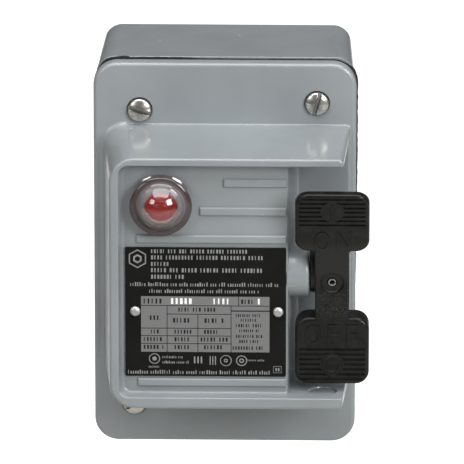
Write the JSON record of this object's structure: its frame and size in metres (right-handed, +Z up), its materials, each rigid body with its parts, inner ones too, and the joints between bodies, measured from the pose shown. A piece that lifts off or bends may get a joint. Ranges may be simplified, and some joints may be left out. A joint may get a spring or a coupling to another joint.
{
  "type": "manual motor starting switch",
  "caption": "Wall-mounted watertight manual motor switch: die-cast box and cover, guarded ON/OFF rocker handle on a cross shaft, red pilot lamp, toggle switch inside.",
  "frame": {"origin": "on the flat back face of the box, which sits on the wall, midway between its sides and level with the handle's shaft", "axes": "+Z up along the enclosure's longest side, -Y out of the wall towards the operator, +X to the operator's right"},
  "size_m": [0.1146, 0.1051, 0.1686],
  "materials": {
    "grey_enamel": "semi-gloss die-cast enamel",
    "black_rubber": "matt",
    "stainless_steel": "turned",
    "spring_steel": "plain",
    "black_anodised_aluminium": "black anodised, satin",
    "aluminium": "satin",
    "clear_polycarbonate": "clear, polished",
    "red_acrylic": "transparent red",
    "lamp_glass": "clear",
    "black_moulding": "moulded, fine texture",
    "phenolic": "moulded",
    "zinc_plated_steel": "zinc plated",
    "brass": "plain",
    "silvered_copper": "silvered copper",
    "white_nylon": "moulded",
    "green_screw": "green dyed"
  },
  "bodies": {
    "enclosure": {"base_box": "grey_enamel", "cover": "grey_enamel", "cover_gasket": "black_rubber", "cover_screw_bottom_left": "stainless_steel", "cover_screw_bottom_right": "stainless_steel", "cover_screw_top_left": "stainless_steel", "cover_screw_top_right": "stainless_steel", "ground_screw": "green_screw", "lamp_bulb": "lamp_glass", "lamp_cap": "red_acrylic", "lamp_holder": "phenolic", "lamp_tab_left": "brass", "lamp_tab_right": "brass", "lens_gasket": "black_rubber", "lens_nut": "brass", "line_screw_left": "zinc_plated_steel", "line_screw_middle": "zinc_plated_steel", "line_screw_right": "zinc_plated_steel", "line_terminal_left": "brass", "line_terminal_middle": "brass", "line_terminal_right": "brass", "load_screw_left": "zinc_plated_steel", "load_screw_middle": "zinc_plated_steel", "load_screw_right": "zinc_plated_steel", "load_terminal_left": "brass", "load_terminal_middle": "brass", "load_terminal_right": "brass", "mounting_strap": "zinc_plated_steel", "nameplate": "black_anodised_aluminium", "nameplate_rivet_left": "aluminium", "nameplate_rivet_right": "aluminium", "pilot_lens": "clear_polycarbonate", "shaft_bushing": "brass", "shaft_oring": "black_rubber", "strap_screw_bottom": "zinc_plated_steel", "strap_screw_top": "zinc_plated_steel", "switch_base": "phenolic", "switch_cover": "phenolic", "switch_screw_lower": "zinc_plated_steel", "switch_screw_upper": "zinc_plated_steel", "toggle_pin": "zinc_plated_steel"},
    "operator": {"handle": "black_moulding", "roll_pin": "spring_steel", "operating_shaft": "stainless_steel", "retaining_ring": "spring_steel", "operator_crank": "zinc_plated_steel", "crank_set_screw": "stainless_steel"},
    "toggle": {"toggle_lever": "phenolic"},
    "contacts": {"contact_carrier": "white_nylon", "moving_contact_left": "silvered_copper", "moving_contact_middle": "silvered_copper", "moving_contact_right": "silvered_copper", "contact_spring_left": "spring_steel", "contact_spring_middle": "spring_steel", "contact_spring_right": "spring_steel"}
  },
  "joints": [
    {"name": "handle_rock", "type": "hinge", "parent": "enclosure", "child": "operator", "pos_m": [0.0448, -0.0812, 0], "axis": [-1, 0, 0], "range_deg": [0, 20]},
    {"name": "toggle_swing", "type": "hinge", "parent": "enclosure", "child": "toggle", "pos_m": [0, -0.039, 0], "axis": [-1, 0, 0], "range_deg": [-32, 0]},
    {"name": "contacts_close", "type": "slide", "parent": "enclosure", "child": "contacts", "axis": [0, 1, 0], "range_m": [0, 0.0039]}
  ],
  "couplings": [
    {"joint": "toggle_swing", "follows": "handle_rock", "ratio": -1.6},
    {"joint": "contacts_close", "follows": "handle_rock", "m_per_rad": 0.01115}
  ]
}
